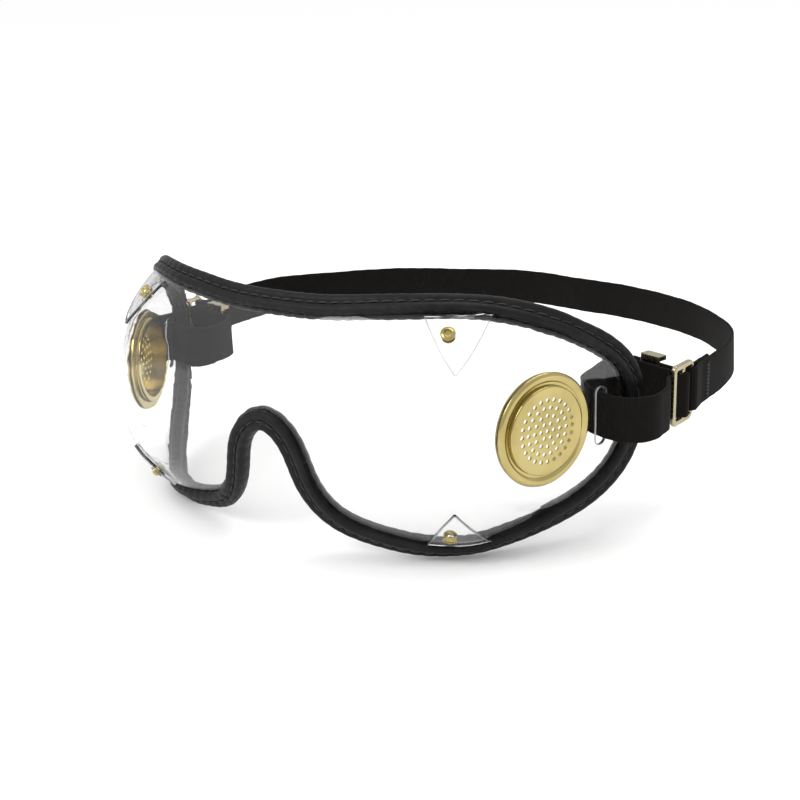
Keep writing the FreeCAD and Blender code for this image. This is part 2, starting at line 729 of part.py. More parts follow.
def flap(dart, side):
    """Doubled flap of one dart, cut back to clear the binding."""
    apex, inner, middle, outer = [raised(dart[name]) for name in ("apex", "inner", "middle", "outer")]
    half = DART_APEX_WIDTH / 2.0

    def pattern(a, b):
        low = (apex[0] - half + (inner[0] - apex[0] + half) * b, apex[1] + (inner[1] - apex[1]) * b)
        bow = 4.0 * b * (1.0 - b)
        bent = (
            middle[0] - (apex[0] + half + outer[0]) / 2.0,
            middle[1] - (apex[1] + outer[1]) / 2.0,
        )
        high = (
            apex[0] + half + (outer[0] - apex[0] - half) * b + bent[0] * bow,
            apex[1] + (outer[1] - apex[1]) * b + bent[1] * bow,
        )
        along = low[0] + (high[0] - low[0]) * a
        height = low[1] + (high[1] - low[1]) * a
        return side * along, phi_of(height)

    pad = layer(pattern, SHEET_HALF - FLAP_ROOT, FLAP_TOP, 8, 10)
    inner_edge = -BINDING_FRONT_WIDTH - FLAP_TO_BINDING
    high = FLAP_TOP + 1.0
    outer_edge = BINDING_OUTER_REACH
    keep_out = rim_ring([(inner_edge, 0.0), (outer_edge, 0.0), (outer_edge, high), (inner_edge, high)])
    return max(pad.cut(keep_out).Solids, key=lambda piece: piece.Volume)


def lowest_under(place, side, radius):
    """Least height of the sheet's face-side surface over a disc, measured from the disc's own frame."""
    frame = local_frame(place, side).inverse()
    along, phi = side * place[0], phi_of(place[1])
    point, by_along, by_phi, normal = sheet_frame(along, phi)
    heights = []
    for k in range(16):
        angle = 2.0 * math.pi * k / 16.0
        a = along + radius * math.cos(angle) / by_along.Length
        p = phi + radius * math.sin(angle) / by_phi.Length
        heights.append(frame.multVec(off_sheet(a, p, -SHEET_HALF)).z)
    return min(heights)


def build_lens():
    lens = trimmed(whole_sheet(-SHEET_HALF, SHEET_HALF), SHEET_EDGE_IN_BINDING, SHEET_HALF + 1.5)
    for side in (1.0, -1.0):
        for dart in DARTS:
            lens = lens.fuse(flap(dart, side))
    for side in (1.0, -1.0):
        cutter = Part.makeCylinder(CUP_RADIUS + VENT_HOLE_GAP, 12.0, vector(0, 0, -6.0))
        lens = lens.cut(placed(cutter, local_frame(VENT_PLACE, side)))
        turn = local_frame(SLOT_PLACE, side)
        lens = lens.cut(placed(rounded_bar(SLOT_LENGTH, SLOT_WIDTH, 8.0), turn))
        for dart in DARTS:
            cutter = Part.makeCylinder(RIVET_SHANK_RADIUS + FIT_GAP, 8.0, vector(0, 0, -4.0))
            lens = lens.cut(placed(cutter, local_frame(raised(dart["rivet"]), side)))
    return max(lens.Solids, key=lambda piece: piece.Volume)


# Binding, foam and thread

def build_binding():
    rim = SHEET_HALF + SEAT_GAP
    f = BINDING_FRONT_WIDTH
    b = BINDING_BACK_WIDTH
    r = BINDING_OUTER_REACH
    h = BINDING_FRONT_HEIGHT
    d = BINDING_BACK_DEPTH
    g = BINDING_GROOVE_DEPTH
    floor = FOAM_DEPTH
    wall = SHEET_EDGE_IN_BINDING + SEAT_GAP
    section = [
        (-f, rim), (-f, h - 0.9), (-f + 0.45, h - 0.25), (-f + 1.3, h), (-0.6, h - 0.3),
        (0.0, h - g), (0.6, h - 0.3), (r - 1.4, h), (r - 0.5, h - 0.4), (r, h - 1.5),
        (r, -0.4), (r - 0.15, -1.9), (r - 0.8, -d + 0.4), (1.2, -d), (0.6, -d + 0.3), (0.0, -d + g),
        (-0.6, -d + 0.3), (-1.6, -d), (-b + 0.6, -d + 0.4), (-b, -d + 1.3), (-b, -rim),
        (-b + BINDING_LIP, -rim), (-b + BINDING_LIP, -floor), (wall, -floor), (wall, rim),
    ]
    return rim_ring(section)


def build_foam():
    low = -FOAM_DEPTH + FOAM_GAP
    high = -SHEET_HALF - FOAM_GAP
    inner = -BINDING_BACK_WIDTH + BINDING_LIP + FOAM_GAP
    outer = SHEET_EDGE_IN_BINDING
    return rim_ring([(inner, low), (outer, low), (outer, high), (inner, high)])


def build_thread():
    half = THREAD_WIDTH / 2.0
    front = BINDING_FRONT_HEIGHT - BINDING_GROOVE_DEPTH + THREAD_LIFT
    back = -BINDING_BACK_DEPTH + BINDING_GROOVE_DEPTH - THREAD_LIFT
    lines = []
    for low, high in ((front, front + THREAD_HEIGHT), (back - THREAD_HEIGHT, back)):
        lines.append(rim_ring([(-half, low), (half, low), (half, high), (-half, high)]))
    return Part.makeCompound(lines)


# Rivets

def build_rivets():
    rivets = []
    for side in (1.0, -1.0):
        for dart in DARTS:
            seat = FLAP_TOP + FIT_GAP / 2.0
            washer_top = lowest_under(raised(dart["rivet"]), side, WASHER_RADIUS) - FIT_GAP
            tail_top = washer_top - WASHER_THICKNESS - FIT_GAP / 2.0
            shank = RIVET_SHANK_RADIUS
            head = RIVET_HEAD_RADIUS
            top = seat + RIVET_HEAD_HEIGHT
            end = tail_top - RIVET_TAIL_HEIGHT
            tail = RIVET_TAIL_RADIUS
            rivet = turned([
                (0.0, end), (tail - 0.2, end), (tail, tail_top - 0.3), (tail, tail_top), (shank, tail_top),
                (shank, seat), (head, seat), (head, seat + 0.25, 0.2), (RIVET_DIMPLE_RADIUS, top),
                (RIVET_DIMPLE_RADIUS - 0.15, top - RIVET_DIMPLE_DEPTH), (0.0, top - RIVET_DIMPLE_DEPTH),
            ])
            rivets.append(placed(rivet, local_frame(raised(dart["rivet"]), side)))
    return Part.makeCompound(rivets)


def build_washers():
    washers = []
    for side in (1.0, -1.0):
        for dart in DARTS:
            top = lowest_under(raised(dart["rivet"]), side, WASHER_RADIUS) - FIT_GAP
            low = top - WASHER_THICKNESS
            hole = RIVET_SHANK_RADIUS + FIT_GAP
            washer = turned([(hole, low), (WASHER_RADIUS, low), (WASHER_RADIUS, top), (hole, top)])
            washers.append(placed(washer, local_frame(raised(dart["rivet"]), side)))
    return Part.makeCompound(washers)


# Vents

def build_bezel(side):
    """Front ring with a rolled rim, flat behind on the clamped sheet."""
    inside = VENT_RADIUS - VENT_RIM_WIDTH
    low = SHEET_HALF + VENT_SEAT_GAP
    ring = turned([
        (COLLAR_INSIDE, low), (VENT_RADIUS - 0.1, low, -0.12),
        (VENT_RADIUS - 0.35, VENT_RIM_HEIGHT - 0.35, -0.15),
        (VENT_RADIUS - VENT_RIM_WIDTH * 0.5, VENT_RIM_HEIGHT, -0.1), (inside, VENT_RIM_HEIGHT - 0.5),
        (inside, VENT_GROOVE_FLOOR), (COLLAR_INSIDE, VENT_GROOVE_FLOOR),
    ])
    return placed(ring, local_frame(VENT_PLACE, side))


def back_collar_end():
    """Height of the back ring's collar, where the cup is rolled over it."""
    return -SHEET_HALF - VENT_SEAT_GAP - BACK_RING_THICKNESS - BACK_COLLAR_RISE


def build_screen(side):
    """Perforated cup whose wall passes through the sheet and is rolled over the back ring."""
    wall = CUP_RADIUS - CUP_WALL
    bottom = back_collar_end() - FIT_GAP
    lip = bottom - CUP_LIP_THICKNESS
    cup = turned([
        (0.0, CUP_TOP), (0.0, CUP_TOP - CUP_WALL), (wall, CUP_TOP - CUP_WALL), (wall, lip),
        (CUP_RADIUS + CUP_LIP_REACH, lip), (CUP_RADIUS + CUP_LIP_REACH, bottom), (CUP_RADIUS, bottom),
        (CUP_RADIUS, CUP_TOP - CUP_EDGE_RADIUS, -0.15), (CUP_RADIUS - CUP_EDGE_RADIUS, CUP_TOP),
    ])
    drills = []
    for ring in range(HOLE_RINGS + 1):
        count = max(1, 6 * ring)
        for k in range(count):
            angle = 2.0 * math.pi * k / count
            radius = ring * HOLE_PITCH
            place = vector(radius * math.cos(angle), radius * math.sin(angle), CUP_TOP - CUP_WALL - 1.0)
            drills.append(Part.makeCylinder(HOLE_RADIUS, CUP_WALL + 2.0, place))
    cup = cup.cut(Part.makeCompound(drills))
    return placed(max(cup.Solids, key=lambda piece: piece.Volume), local_frame(VENT_PLACE, side))


def build_back_ring(side):
    """Ring behind the sheet: a flat flange with a collar round the cup."""
    collar = COLLAR_INSIDE + BACK_COLLAR_WIDTH
    top = -SHEET_HALF - VENT_SEAT_GAP
    flange = top - BACK_RING_THICKNESS
    end = back_collar_end()
    ring = turned([
        (COLLAR_INSIDE, end), (collar - 0.3, end), (collar, end + 0.3), (collar, flange),
        (BACK_RING_RADIUS, flange), (BACK_RING_RADIUS, top), (COLLAR_INSIDE, top),
    ])
    return placed(ring, local_frame(VENT_PLACE, side))


# Straps

def build_headband():
    parts = headband_middle()
    for ear in EARS:
        fold = band(fold_path(ear), STRAP_THICKNESS, STRAP_WIDTH, HEADBAND_HEIGHT)
        parts = parts.fuse(on_side(fold, ear))
    return parts


os.makedirs("parts", exist_ok=True)

nodes = {
    "lens": build_lens(),
    "edge_binding": build_binding(),
    "binding_foam": build_foam(),
    "binding_thread": build_thread(),
    "dart_rivets": build_rivets(),
    "rivet_washers": build_washers(),
    "headband_elastic": build_headband(),
}
for ear in EARS:
    name = ear["name"]
    side = ear["sign"]
    lay = EarLayout(ear)
    nodes["vent_bezel_" + name] = build_bezel(side)
    nodes["vent_screen_" + name] = build_screen(side)
    nodes["vent_back_ring_" + name] = build_back_ring(side)
    loop = band(loop_path(ear), STRAP_THICKNESS, STRAP_WIDTH, STRAP_HEIGHT)
    nodes["strap_loop_" + name] = on_side(loop, ear)
    nodes["slider_" + name] = on_side(placed(slider_body(), lay.slider_frame()), ear)
    nodes["keeper_" + name] = on_side(placed(keeper_body(), lay.keeper_frame()), ear)
    blocks = Part.makeCompound(stitch_blocks(ear))
    nodes["end_stitches_" + name] = on_side(blocks, ear)

for name, shape in nodes.items():
    shape.exportStep("parts/" + name + ".step")
    box = shape.BoundBox
    print(name, len(shape.Solids), shape.isValid(), round(shape.Volume, 1),
          [round(v, 2) for v in (box.XMin, box.XMax, box.YMin, box.YMax, box.ZMin, box.ZMax)])
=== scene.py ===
import math

import bmesh
import bpy
import numpy as np
from mathutils import Matrix, Vector


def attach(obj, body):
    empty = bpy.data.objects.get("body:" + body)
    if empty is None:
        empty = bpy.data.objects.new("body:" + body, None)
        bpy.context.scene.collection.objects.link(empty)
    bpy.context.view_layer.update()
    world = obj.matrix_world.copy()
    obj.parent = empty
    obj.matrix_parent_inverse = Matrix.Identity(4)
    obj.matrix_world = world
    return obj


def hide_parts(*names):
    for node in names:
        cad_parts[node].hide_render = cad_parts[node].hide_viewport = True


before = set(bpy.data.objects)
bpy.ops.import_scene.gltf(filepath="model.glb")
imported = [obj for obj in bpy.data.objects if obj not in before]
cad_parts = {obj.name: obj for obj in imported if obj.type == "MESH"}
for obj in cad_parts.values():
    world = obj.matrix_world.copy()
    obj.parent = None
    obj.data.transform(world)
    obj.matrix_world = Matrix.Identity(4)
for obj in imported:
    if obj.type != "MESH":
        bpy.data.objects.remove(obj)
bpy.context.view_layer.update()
scene = bpy.context.scene
rng = np.random.default_rng(7)

# The pieces are worked out in millimetres and scaled to metres as their meshes are made
MM = 0.001

# The bent sheet, as in the part's source: darts and outline are distances along its waist and degrees up it

WAIST = {"y": -31.1, "front": 450.0, "front_deg": 6.8, "corner": 9.0, "side_deg": 67.3, "side": 62.0}
RIM = {"y": -18.2, "front": 264.0, "front_deg": 7.1, "corner": 29.0, "side_deg": 57.0, "side": 62.0}
WAIST_HEIGHT = -0.9
RIM_RISE = 35.0
RIM_PHI = math.radians(71.1)
BULGE = RIM_RISE / math.sin(RIM_PHI)
UPPER_DART = {"apex": (57.2, 32.0), "inner": (45.6, 60.2), "middle": (61.4, 43.1), "outer": (65.1, 59.6)}
LOWER_DART = {"apex": (56.6, -28.4), "inner": (46.0, -52.9), "middle": (60.2, -39.4), "outer": (64.0, -54.4)}
DARTS = [UPPER_DART, LOWER_DART]
DART_APEX_WIDTH = 0.6
SLOT_ALONG = 107.0
SLOT_HEIGHT = -0.9
SLOT_LENGTH = 16.6
SLOT_WIDTH = 3.5
VENT_ALONG = 86.4
VENT_CLAMP = 16.875
VENT_BLEND = 10.0
OUTLINE = [
    (0.0, 62.1), (16.0, 63.1), (36.3, 68.8), (56.1, 68.0), (79.5, 54.4), (102.0, 36.1),
    (118.0, 13.0), (118.0, -12.0), (102.7, -36.3), (81.4, -51.1), (62.4, -61.1), (46.6, -62.4),
    (32.7, -56.6), (19.1, -44.4), (11.8, -23.4), (7.2, -4.0), (0.0, 2.8),
]
RIM_SAMPLES = 6001
WALK_STEP = 0.5
TINY_STEP = 0.01


def plan_length(curve):
    corner = curve["corner"] * math.radians(curve["side_deg"] - curve["front_deg"])
    return curve["front"] * math.radians(curve["front_deg"]) + corner + curve["side"]


def plan_at(curve, distance):
    """Plan points (N, 2) at distances from the nose: along the front's arc, the corner's arc and the side."""
    distance = np.asarray(distance, float)
    front_turn = math.radians(curve["front_deg"])
    side_turn = math.radians(curve["side_deg"])
    corner_start = curve["front"] * front_turn
    side_start = corner_start + curve["corner"] * (side_turn - front_turn)
    front_centre = np.array([0.0, curve["y"] + curve["front"]])
    across = np.array([math.sin(front_turn), -math.cos(front_turn)])
    corner_centre = front_centre + across * (curve["front"] - curve["corner"])
    across = np.array([math.sin(side_turn), -math.cos(side_turn)])
    side_foot = corner_centre + across * curve["corner"]
    angle = distance / curve["front"]
    front = front_centre + np.stack([np.sin(angle), -np.cos(angle)], -1) * curve["front"]
    angle = front_turn + (distance - corner_start) / curve["corner"]
    corner = corner_centre + np.stack([np.sin(angle), -np.cos(angle)], -1) * curve["corner"]
    heading = np.array([math.cos(side_turn), math.sin(side_turn)])
    side = side_foot + (distance - side_start)[..., None] * heading
    rest = np.where((distance <= side_start)[..., None], corner, side)
    return np.where((distance <= corner_start)[..., None], front, rest)


WAIST_LENGTH = plan_length(WAIST)
RIM_LENGTH = plan_length(RIM)


def phi_of(height):
    return np.arcsin((np.asarray(height, float) - WAIST_HEIGHT) / BULGE)


def height_of(degrees):
    return WAIST_HEIGHT + BULGE * math.sin(math.radians(degrees))


def ease(x):
    x = np.clip(x, 0, 1)
    return x * x * (3 - 2 * x)


def unit(vectors):
    return vectors / np.linalg.norm(vectors, axis=-1, keepdims=True)


def distance_along(points):
    """Distance of each point from the first, along a line through them."""
    return np.concatenate([[0], np.cumsum(np.linalg.norm(np.diff(points, axis=0), axis=1))])


def sheet(along, phi):
    """Middle of the sheet, (N, 3), pressed flat where the vents clamp it."""
    along = np.asarray(along, float)
    phi = np.asarray(phi, float)
    height = WAIST_HEIGHT + BULGE * np.sin(phi)
    from_vent = np.hypot(np.abs(along) - VENT_ALONG, height)
    free = ease((from_vent - VENT_CLAMP) / VENT_BLEND)
    share = free * (1 - np.cos(phi)) / (1 - math.cos(RIM_PHI))
    part = np.abs(along) / WAIST_LENGTH
    waist = plan_at(WAIST, part * WAIST_LENGTH)
    rim = plan_at(RIM, part * RIM_LENGTH)
    plan = waist + (rim - waist) * share[..., None]
    side = np.where(along >= 0, 1.0, -1.0)
    return np.stack([side * plan[..., 0], plan[..., 1], height], -1)


def sheet_frame(along, phi):
    """Point of the sheet, its two slopes and its outward normal."""
    tilt = TINY_STEP / BULGE
    by_along = (sheet(along + TINY_STEP, phi) - sheet(along - TINY_STEP, phi)) / (2 * TINY_STEP)
    by_phi = (sheet(along, phi + tilt) - sheet(along, phi - tilt)) / (2 * tilt)
    return sheet(along, phi), by_along, by_phi, unit(np.cross(by_along, by_phi))


def off_sheet(along, phi, rise):
    point, _, _, normal = sheet_frame(along, phi)
    return point + normal * np.asarray(rise, float)[..., None]


def spline_piece(p, m, h, i, k, u, v):
    """Cubic between knots i and k with second derivatives m, at u past the one and v short of the other."""
    bend = (m[i] * v**3 + m[k] * u**3) / (6 * h)
    return bend + (p[i] / h - m[i] * h / 6) * v + (p[k] / h - m[k] * h / 6) * u


def periodic_spline(points):
    """Closed smooth curve through points: a function of the distance along it, and its length."""
    p = np.asarray(points, float)
    n = len(p)
    h = np.linalg.norm(np.roll(p, -1, 0) - p, axis=1)
    a = np.zeros((n, n))
    b = np.zeros_like(p)
    for i in range(n):
        j, k = (i - 1) % n, (i + 1) % n
        a[i, j] = h[j]
        a[i, i] = 2 * (h[j] + h[i])
        a[i, k] = h[i]
        b[i] = 6 * ((p[k] - p[i]) / h[i] - (p[i] - p[j]) / h[j])
    m = np.linalg.solve(a, b)
    knots = np.concatenate([[0], np.cumsum(h)])

    def curve(t):
        t = np.asarray(t, float) % knots[-1]
        i = np.clip(np.searchsorted(knots, t, "right") - 1, 0, n - 1)
        past = (t - knots[i])[..., None]
        short = (knots[i + 1] - t)[..., None]
        return spline_piece(p, m, h[i][..., None], i, (i + 1) % n, past, short)

    return curve, knots[-1]


def rim_line(count):
    """Stations spaced evenly round the rim in space: along, phi, the rim's tangent and its whole length."""
    right = [(a, height_of(degrees)) for a, degrees in OUTLINE]
    left = [(-a, h) for a, h in reversed(right[1:-1])]
    curve, total = periodic_spline(right + left)

    def in_space(t):
        flat = curve(t)
        return sheet(flat[:, 0], phi_of(flat[:, 1]))

    t = np.linspace(0, total, RIM_SAMPLES)
    run = distance_along(in_space(t))
    t = np.interp(np.linspace(0, run[-1], count, endpoint=False), run, t)
    flat = curve(t)
    tangent = unit(in_space(t + TINY_STEP) - in_space(t - TINY_STEP))
    return flat[:, 0], phi_of(flat[:, 1]), tangent, run[-1]


def walk(along, phi, tangent, across, rise):
    """Points at a walked distance outwards from the rim line and a height over the sheet, (S, K, 3)."""
    across = np.asarray(across, float)
    shape = np.broadcast_shapes(across.shape, (len(along), across.shape[-1]))
    across = np.broadcast_to(across, shape)
    rise = np.broadcast_to(np.asarray(rise, float), shape)
    a = np.broadcast_to(along[:, None], shape).copy()
    p = np.broadcast_to(phi[:, None], shape).copy()
    tangent = np.broadcast_to(tangent[:, None, :], shape + (3,))
    steps = max(1, int(math.ceil(np.abs(across).max() / WALK_STEP)))
    for _ in range(steps):
        _, by_along, by_phi, normal = sheet_frame(a, p)
        out = unit(np.cross(normal, tangent))
        aa = (by_along * by_along).sum(-1)
        ab = (by_along * by_phi).sum(-1)
        bb = (by_phi * by_phi).sum(-1)
        oa = (out * by_along).sum(-1)
        ob = (out * by_phi).sum(-1)
        spread = aa * bb - ab * ab
        size = across / steps
        a += size * (oa * bb - ob * ab) / spread
        p += size * (ob * aa - oa * ab) / spread
    return off_sheet(a, p, rise)


# Meshes

def mesh_object(name, points, faces, uvs=None):
    """Smooth mesh in the scene, from points in millimetres, with its faces turned outwards."""
    mesh = bpy.data.meshes.new(name)
    mesh.from_pydata([tuple(v) for v in np.asarray(points) * MM], [], faces)
    if uvs is not None:
        layer = mesh.uv_layers.new(name="UVMap")
        index = np.zeros(len(mesh.loops), np.int32)
        mesh.loops.foreach_get("vertex_index", index)
        layer.data.foreach_set("uv", np.asarray(uvs, np.float32)[index].reshape(-1))
    work = bmesh.new()
    work.from_mesh(mesh)
    bmesh.ops.recalc_face_normals(work, faces=work.faces)
    work.to_mesh(mesh)
    work.free()
    mesh.shade_smooth()
    mesh.update()
    obj = bpy.data.objects.new(name, mesh)
    scene.collection.objects.link(obj)
    return obj


def tube_faces(stations, width, closed):
    """Quads between neighbouring rings, for stations rings of width points; closed joins last to first."""
    faces = []
    for i in range(stations if closed else stations - 1):
        j = (i + 1) % stations
        for c in range(width):
            d = (c + 1) % width
            faces.append((i * width + c, i * width + d, j * width + d, j * width + c))
    return faces


def add_tube(points, faces, rings):
    """Adds a capped tube, given as rings of points (S, K, 3), to a list of points and one of faces."""
    stations, width = rings.shape[:2]
    base = len(points)
    points.extend(rings.reshape(-1, 3))
    for face in tube_faces(stations, width, False):
        faces.append(tuple(v + base for v in face))
    faces.append(tuple(base + v for v in reversed(range(width))))
    faces.append(tuple(base + (stations - 1) * width + v for v in range(width)))


def paint(obj, finish):
    obj.data.materials.clear()
    obj.data.materials.append(finish)
    return obj


# Nodes of the materials

def material(name, color, roughness, metallic=0.0):
    m = bpy.data.materials.new(name)
    m.use_nodes = True
    shader = m.node_tree.nodes["Principled BSDF"]
    shader.inputs["Base Color"].default_value = (*color, 1)
    shader.inputs["Roughness"].default_value = roughness
    shader.inputs["Metallic"].default_value = metallic
    return m, m.node_tree, shader


def node(tree, kind, links=(), **values):
    n = tree.nodes.new(kind)
    for key, value in values.items():
        if key in n.inputs.keys():
            n.inputs[key].default_value = value
        else:
            setattr(n, key, value)
    for source, target in links:
        tree.links.new(source, n.inputs[target])
    return n


def object_place(tree):
    return node(tree, "ShaderNodeTexCoord").outputs["Object"]


def noise(tree, place, scale, detail):
    return node(tree, "ShaderNodeTexNoise", [(place, "Vector")], Scale=scale, Detail=detail).outputs["Fac"]


def calculate(tree, operation, first, second=None):
    """Value of a math node on an output and, where it needs one, another output or a number."""
    n = node(tree, "ShaderNodeMath", [(first, 0)], operation=operation)
    if isinstance(second, float):
        n.inputs[1].default_value = second
    elif second is not None:
        tree.links.new(second, n.inputs[1])
    return n.outputs["Value"]


def map_range(tree, source, start=0.0, end=1.0, low=0.0, high=1.0):
    n = node(tree, "ShaderNodeMapRange", [(source, "Value")])
    for key, value in (("From Min", start), ("From Max", end), ("To Min", low), ("To Max", high)):
        n.inputs[key].default_value = value
    return n.outputs["Result"]


def ramp(tree, source, stops):
    r = node(tree, "ShaderNodeValToRGB", [(source, "Fac")])
    while len(r.color_ramp.elements) < len(stops):
        r.color_ramp.elements.new(0.5)
    for element, (place, color) in zip(r.color_ramp.elements, stops):
        element.position = place
        element.color = (*color, 1)
    return r.outputs["Color"]


def multiply(tree, first, second):
    n = node(tree, "ShaderNodeVectorMath", [(first, 0), (second, 1)], operation="MULTIPLY")
    return n.outputs["Vector"]


def bump(tree, shader, height, strength, distance):
    b = node(tree, "ShaderNodeBump", [(height, "Height")], Strength=strength, Distance=distance)
    tree.links.new(b.outputs["Normal"], shader.inputs["Normal"])


def grey(value):
    return (value, value, value)


# Materials

def leather_material():
    """Thin black leather: fine pebble grain, soft creases and faint blotches in the colour."""
    m, tree, shader = material("goggle_leather", (0.012, 0.012, 0.0125), 0.5)
    shader.inputs["Specular IOR Level"].default_value = 0.2
    place = object_place(tree)
    blotch = noise(tree, place, scale=160.0, detail=3.0)
    tone = ramp(tree, blotch, [(0.3, (0.0035, 0.0035, 0.0037)), (0.7, (0.009, 0.009, 0.0093))])
    tree.links.new(tone, shader.inputs["Base Color"])
    crease = noise(tree, place, scale=900.0, detail=4.0)
    rough = ramp(tree, crease, [(0.3, grey(0.4)), (0.75, grey(0.6))])
    tree.links.new(rough, shader.inputs["Roughness"])
    pebble = node(tree, "ShaderNodeTexVoronoi", [(place, "Vector")], Scale=2600.0, feature="DISTANCE_TO_EDGE")
    relief = calculate(tree, "ADD", pebble.outputs["Distance"], crease)
    bump(tree, shader, relief, strength=0.3, distance=0.0001)
    return m


RIB_PITCH = 0.66
CORD_PITCH = 0.87


def wave(tree, source, pitch):
    return calculate(tree, "SINE", calculate(tree, "MULTIPLY", source, 2 * math.pi / pitch))


def webbing_material(name, color):
    """Woven elastic: ribs across the strap and fine cords along it, from the strap's own coordinates, with
    painted shade in the weave's hollows and painted highlight on its crests.
    """
    m, tree, shader = material(name, color, 0.85)
    shader.inputs["Specular IOR Level"].default_value = 0.1
    shader.inputs["Sheen Weight"].default_value = 0.015
    shader.inputs["Sheen Roughness"].default_value = 0.5
    where = node(tree, "ShaderNodeUVMap", uv_map="UVMap")
    split = node(tree, "ShaderNodeSeparateXYZ", [(where.outputs["UV"], "Vector")])
    rib = wave(tree, split.outputs["X"], RIB_PITCH)
    cord = wave(tree, split.outputs["Y"], CORD_PITCH)
    weave = calculate(tree, "ADD", calculate(tree, "MULTIPLY", rib, cord), rib)
    relief = map_range(tree, weave, start=-2.0, end=2.0)
    # Painted shade in the weave's hollows and painted highlight on its crests, taken from the weave's relief
    dark = tuple(c * 0.6 for c in color)
    light = tuple(c * 1.7 for c in color)
    shade = ramp(tree, relief, [(0.2, dark), (0.85, light)])
    lint = noise(tree, object_place(tree), scale=420.0, detail=4.0)
    faded = map_range(tree, lint, low=0.7, high=1.35)
    tree.links.new(multiply(tree, shade, faded), shader.inputs["Base Color"])
    bump(tree, shader, relief, strength=0.6, distance=0.00014)
    return m


def foam_material():
    """Fine black foam, with painted shade darkening the pits of its cells."""
    m, tree, shader = material("face_foam", (0.02, 0.02, 0.021), 0.95)
    shader.inputs["Specular IOR Level"].default_value = 0.15
    cells = node(tree, "ShaderNodeTexVoronoi", [(object_place(tree), "Vector")], Scale=2200.0)
    # Painted shade: darker in the cells' pits, from the same relief as the bump
    tone = ramp(tree, cells.outputs["Distance"], [(0.1, grey(0.006)), (0.6, (0.03, 0.03, 0.031))])
    tree.links.new(tone, shader.inputs["Base Color"])
    bump(tree, shader, cells.outputs["Distance"], strength=0.7, distance=0.0002)
    return m


def metal_material(name, dark, light, roughness):
    """Satin plated metal: faint clouds in the colour and a fine grain in the gloss."""
    m, tree, shader = material(name, light, roughness, 1.0)
    place = object_place(tree)
    cloud = noise(tree, place, scale=90.0, detail=3.0)
    tone = ramp(tree, cloud, [(0.35, dark), (0.65, light)])
    tree.links.new(tone, shader.inputs["Base Color"])
    grain = noise(tree, place, scale=1500.0, detail=2.0)
    rough = ramp(tree, grain, [(0.3, grey(roughness * 0.85)), (0.7, grey(roughness * 1.15))])
    tree.links.new(rough, shader.inputs["Roughness"])
    return m


def thread_material():
    """Black thread with a fine twist."""
    m, tree, shader = material("stitch_thread", (0.014, 0.014, 0.015), 0.6)
    twist = noise(tree, object_place(tree), scale=5000.0, detail=2.0)
    tone = ramp(tree, twist, [(0.3, grey(0.008)), (0.7, grey(0.026))])
    tree.links.new(tone, shader.inputs["Base Color"])
    bump(tree, shader, twist, strength=0.4, distance=0.0001)
    return m


# The clear sheet, with painted shade drawn as thin grey lines along its sawn edges

FLAP_TOP = 1.3
FLAP_EDGE_POINTS = 4
EDGE_LINE = 0.3
EDGE_LINE_FADED = EDGE_LINE * 1.6
# Grey of the painted shade along the sawn edges, standing in for the darker things they refract and mirror
EDGE_PAINTED_SHADE = (0.45, 0.45, 0.46)
EDGE_ROUGHNESS = 0.4


def flap_edges():
    """Edges of the doubled flaps on the wearer's left, in metres, as pairs of points."""
    runs = []
    for dart in DARTS:
        corners = [(dart[name][0], height_of(dart[name][1])) for name in ("apex", "inner", "middle", "outer")]
        apex, inner, middle, outer = np.array(corners)
        half = np.array([DART_APEX_WIDTH / 2, 0.0])
        bow = middle - (apex + half + outer) / 2
        share = np.linspace(0, 1, FLAP_EDGE_POINTS)[:, None]
        near = (apex - half) * (1 - share) + inner * share
        far = (apex + half) * (1 - share) + outer * share + 4 * share * (1 - share) * bow
        for line in (near, far):
            space = off_sheet(line[:, 0], phi_of(line[:, 1]), np.full(FLAP_EDGE_POINTS, FLAP_TOP)) * MM
            runs += list(zip(space[:-1], space[1:]))
    return runs


def distance_to_run(tree, place, a, b):
    """Distance from a place to the straight run between two points."""
    run = b - a
    reach = node(tree, "ShaderNodeVectorMath", [(place, 0)], operation="SUBTRACT")
    reach.inputs[1].default_value = tuple(a)
    reach = reach.outputs["Vector"]
    share = node(tree, "ShaderNodeVectorMath", [(reach, 0)], operation="DOT_PRODUCT")
    share.inputs[1].default_value = tuple(run / (run @ run))
    held = node(tree, "ShaderNodeClamp", [(share.outputs["Value"], "Value")])
    foot = node(tree, "ShaderNodeVectorMath", [(held.outputs["Result"], "Scale")], operation="SCALE")
    foot.inputs[0].default_value = tuple(run)
    off = node(tree, "ShaderNodeVectorMath", [(reach, 0), (foot.outputs["Vector"], 1)], operation="SUBTRACT")
    size = node(tree, "ShaderNodeVectorMath", [(off.outputs["Vector"], 0)], operation="LENGTH")
    return size.outputs["Value"]


def away_from_edges(tree, place):
    """Value that is 0 on a sawn edge and 1 away from it, the same on both sides of the goggles."""
    split = node(tree, "ShaderNodeSeparateXYZ", [(place, "Vector")])
    side = calculate(tree, "ABSOLUTE", split.outputs["X"])
    links = [(side, "X"), (split.outputs["Y"], "Y"), (split.outputs["Z"], "Z")]
    folded = node(tree, "ShaderNodeCombineXYZ", links).outputs["Vector"]
    middle, _, upward, _ = sheet_frame(SLOT_ALONG, phi_of(SLOT_HEIGHT))
    half = unit(upward) * (SLOT_LENGTH - SLOT_WIDTH) / 2
    core = distance_to_run(tree, folded, (middle - half) * MM, (middle + half) * MM)
    nearest = calculate(tree, "ABSOLUTE", calculate(tree, "SUBTRACT", core, SLOT_WIDTH / 2 * MM))
    for a, b in flap_edges():
        nearest = calculate(tree, "MINIMUM", nearest, distance_to_run(tree, folded, a, b))
    return map_range(tree, nearest, start=EDGE_LINE * MM, end=EDGE_LINE_FADED * MM)


